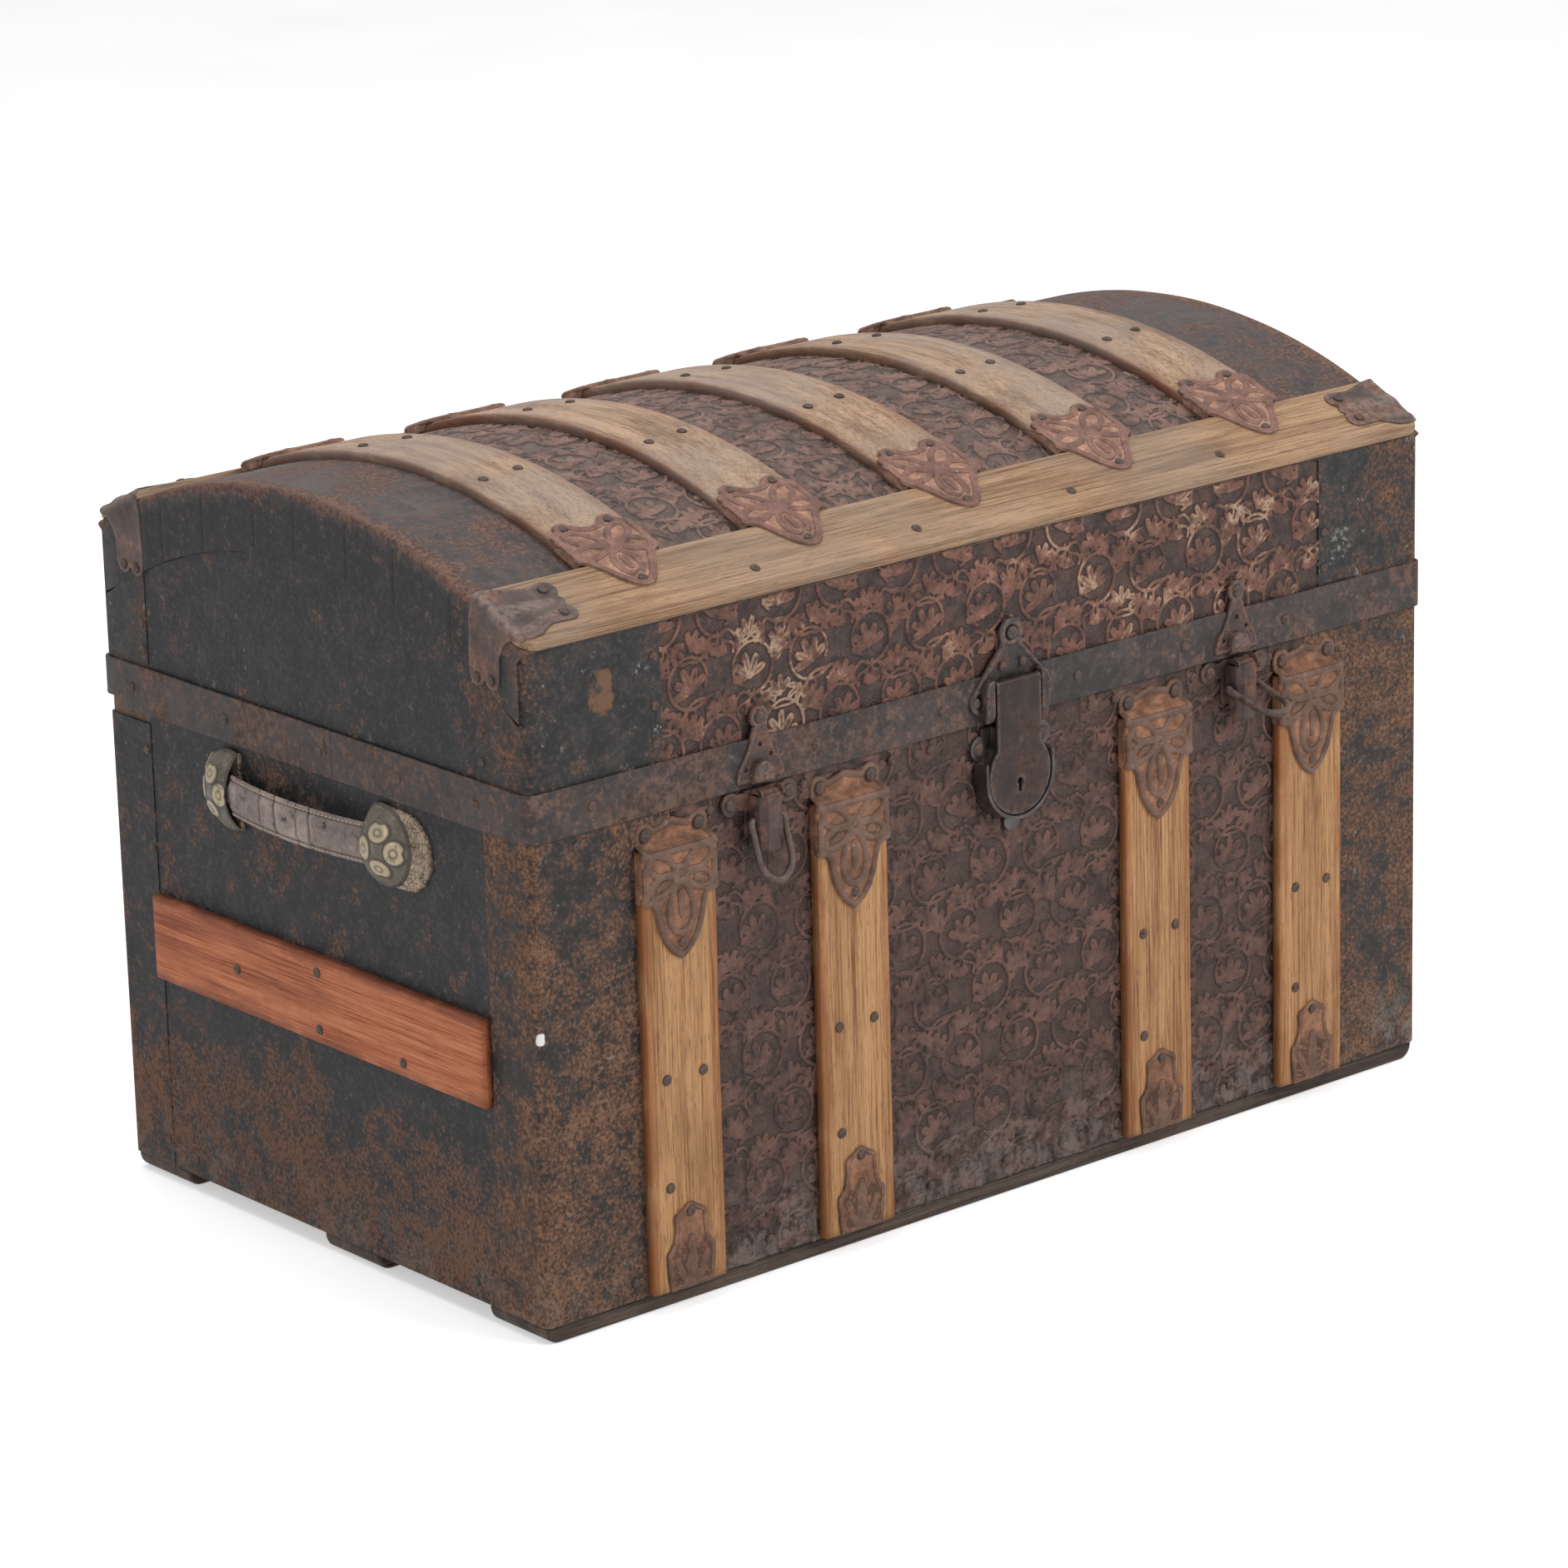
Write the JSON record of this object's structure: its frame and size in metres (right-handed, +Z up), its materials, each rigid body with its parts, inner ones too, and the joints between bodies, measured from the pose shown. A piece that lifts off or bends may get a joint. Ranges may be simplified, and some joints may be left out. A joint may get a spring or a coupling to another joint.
{
  "type": "dome top trunk",
  "caption": "Travelling trunk with a domed lid, embossed and plain sheet iron over boards, bent wood slats with stamped clamps, hasp lock, two draw latches and leather end handles.",
  "frame": {"origin": "on the floor under the middle of the trunk's box, on the middle runner's underside", "axes": "+Z up, +X along the front towards the viewer's right, -Y out of the front"},
  "size_m": [0.795, 0.502, 0.507],
  "materials": {
    "plank": "sawn",
    "slat_wood": "worn varnish",
    "lining_paper": "aged matte",
    "embossed_sheet": "worn lacquer over embossed tinplate",
    "plain_sheet": "worn black lacquer with rust",
    "band_iron": "dark worn lacquer",
    "stamped_clamp": "rusty worn stampings",
    "lock_iron": "smooth dark brown",
    "latch_iron": "rusty worn",
    "pin_steel": "dull",
    "hinge_iron": "dark worn",
    "nail_iron": "dark rust",
    "cap_brass": "dull aged",
    "strap_leather": "dry cracked"
  },
  "bodies": {
    "trunk_body": {"back_board": "plank", "back_corner_irons": "plain_sheet", "back_sheet": "plain_sheet", "back_slats": "slat_wood", "body_lining": "lining_paper", "body_nails": "nail_iron", "bottom_board": "plank", "end_sheets": "plain_sheet", "end_slats": "slat_wood", "front_board": "plank", "front_corner_wraps": "plain_sheet", "front_sheet": "embossed_sheet", "front_slat_1": "slat_wood", "front_slat_2": "slat_wood", "front_slat_3": "slat_wood", "front_slat_4": "slat_wood", "handle_caps": "cap_brass", "handle_pads": "strap_leather", "hinge_body_leaves": "hinge_iron", "hinge_pins": "pin_steel", "latch_bases": "latch_iron", "left_board": "plank", "lever_pins": "pin_steel", "lock_case": "lock_iron", "right_board": "plank", "runners": "plank", "slat_foot_clamps": "stamped_clamp", "slat_top_clamps": "stamped_clamp", "tray_cleats": "plank"},
    "lid": {"lid_front_board": "plank", "lid_back_board": "plank", "lid_end_boards": "plank", "dome_staves": "plank", "lid_lining": "lining_paper", "lid_front_sheet": "embossed_sheet", "lid_back_sheet": "plain_sheet", "lid_end_sheets": "plain_sheet", "lid_corner_wraps": "plain_sheet", "dome_sheet": "embossed_sheet", "dome_end_covers": "plain_sheet", "front_band": "band_iron", "back_band": "band_iron", "shoulder_slats": "slat_wood", "dome_slats": "slat_wood", "dome_clamps": "stamped_clamp", "corner_caps": "stamped_clamp", "hasp_plate": "lock_iron", "hasp_pin": "pin_steel", "latch_catches": "latch_iron", "lid_nails": "nail_iron", "hinge_lid_leaves": "hinge_iron"},
    "hasp_flap": {"hasp": "lock_iron"},
    "bolt": {"lock_bolt": "lock_iron"},
    "left_lever": {"latch_lever_left": "latch_iron"},
    "right_lever": {"latch_lever_right": "latch_iron"},
    "left_bail": {"latch_bail_left": "latch_iron"},
    "right_bail": {"latch_bail_right": "latch_iron"},
    "left_strap": {"handle_strap_left": "strap_leather"},
    "right_strap": {"handle_strap_right": "strap_leather"}
  },
  "joints": [
    {"name": "lid_hinge", "type": "hinge", "parent": "trunk_body", "child": "lid", "pos_m": [0, 0.228, 0.328], "axis": [-1, 0, 0], "range_deg": [0, 100]},
    {"name": "hasp_hinge", "type": "hinge", "parent": "lid", "child": "hasp_flap", "pos_m": [0.007, -0.2296, 0.348], "axis": [-1, 0, 0], "range_deg": [0, 120]},
    {"name": "lock_bolt_slide", "type": "slide", "parent": "trunk_body", "child": "bolt", "axis": [1, 0, 0], "range_m": [0, 0.009]},
    {"name": "left_lever_hinge", "type": "hinge", "parent": "trunk_body", "child": "left_lever", "pos_m": [-0.202, -0.2325, 0.32], "axis": [1, 0, 0], "range_deg": [-100, 0]},
    {"name": "left_bail_hinge", "type": "hinge", "parent": "left_lever", "child": "left_bail", "pos_m": [-0.202, -0.23, 0.304], "axis": [-1, 0, 0], "range_deg": [-17, 163]},
    {"name": "right_lever_hinge", "type": "hinge", "parent": "trunk_body", "child": "right_lever", "pos_m": [0.206, -0.2325, 0.32], "axis": [1, 0, 0], "range_deg": [-100, 0]},
    {"name": "right_bail_hinge", "type": "hinge", "parent": "right_lever", "child": "right_bail", "pos_m": [0.206, -0.23, 0.304], "axis": [-1, 0, 0], "range_deg": [-74, 106]},
    {"name": "left_strap_lift", "type": "hinge", "parent": "trunk_body", "child": "left_strap", "pos_m": [-0.388, 0.0035, 0.292], "axis": [0, 1, 0], "range_deg": [0, 18]},
    {"name": "right_strap_lift", "type": "hinge", "parent": "trunk_body", "child": "right_strap", "pos_m": [0.388, 0.0035, 0.292], "axis": [0, -1, 0], "range_deg": [0, 18]}
  ]
}
